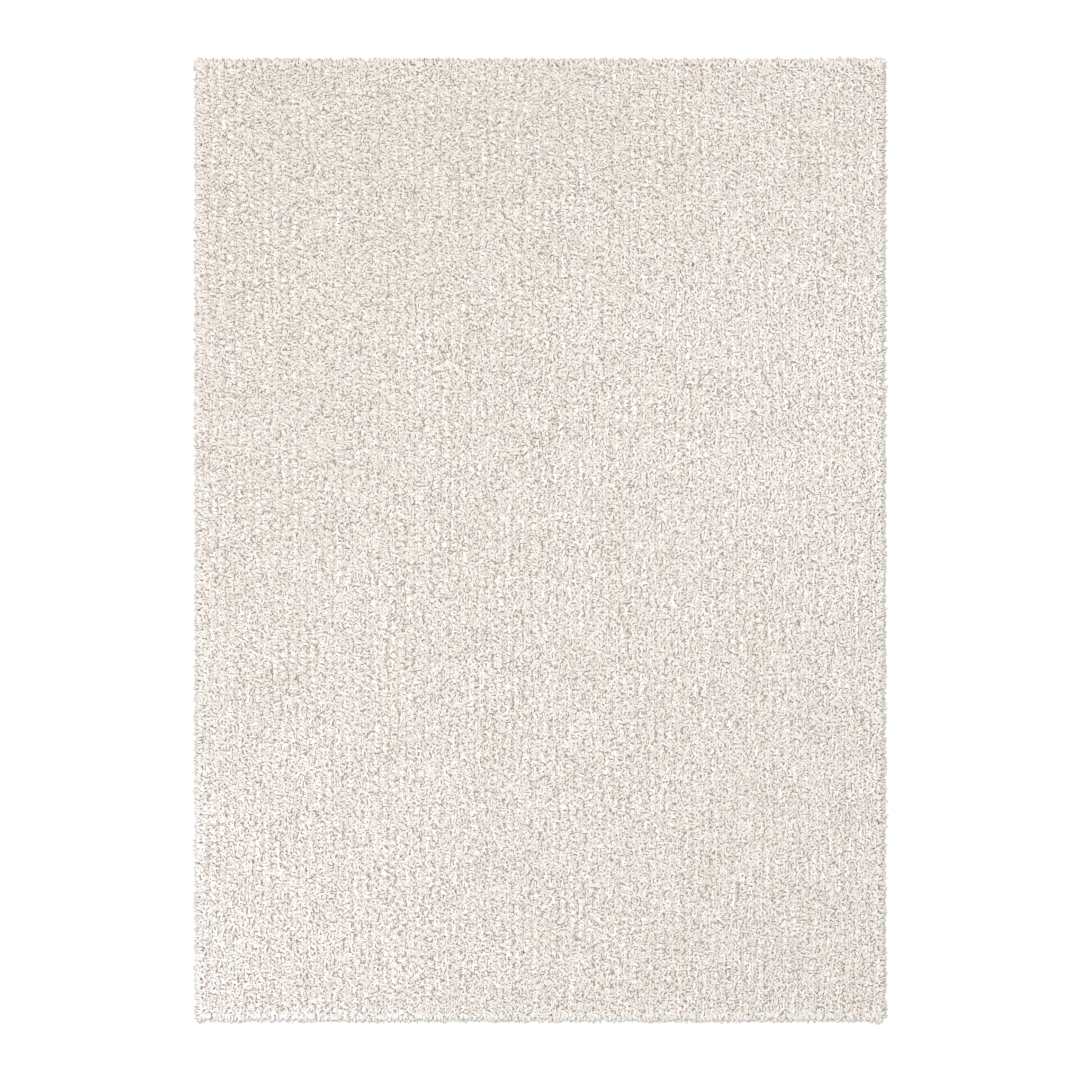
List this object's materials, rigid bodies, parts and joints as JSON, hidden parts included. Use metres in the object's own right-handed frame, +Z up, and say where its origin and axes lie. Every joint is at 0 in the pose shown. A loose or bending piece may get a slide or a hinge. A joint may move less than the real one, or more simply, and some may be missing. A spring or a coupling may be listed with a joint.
{
  "type": "shag rug",
  "caption": "Rectangular shag rug lying flat: one thick lumpy pile of curly yarn on a woven ground, with locks standing out round its rim.",
  "frame": {"origin": "centre of the rug's underside, on the floor", "axes": "+X across the rug's width, +Y along its length, +Z up out of the floor"},
  "size_m": [1.555, 2.165, 0.0342],
  "materials": {
    "pile_yarn": "matt curly yarn, heat set",
    "ground_weave": "plain woven backing"
  },
  "bodies": {
    "root": {"shag_rug": "pile_yarn"}
  },
  "joints": []
}
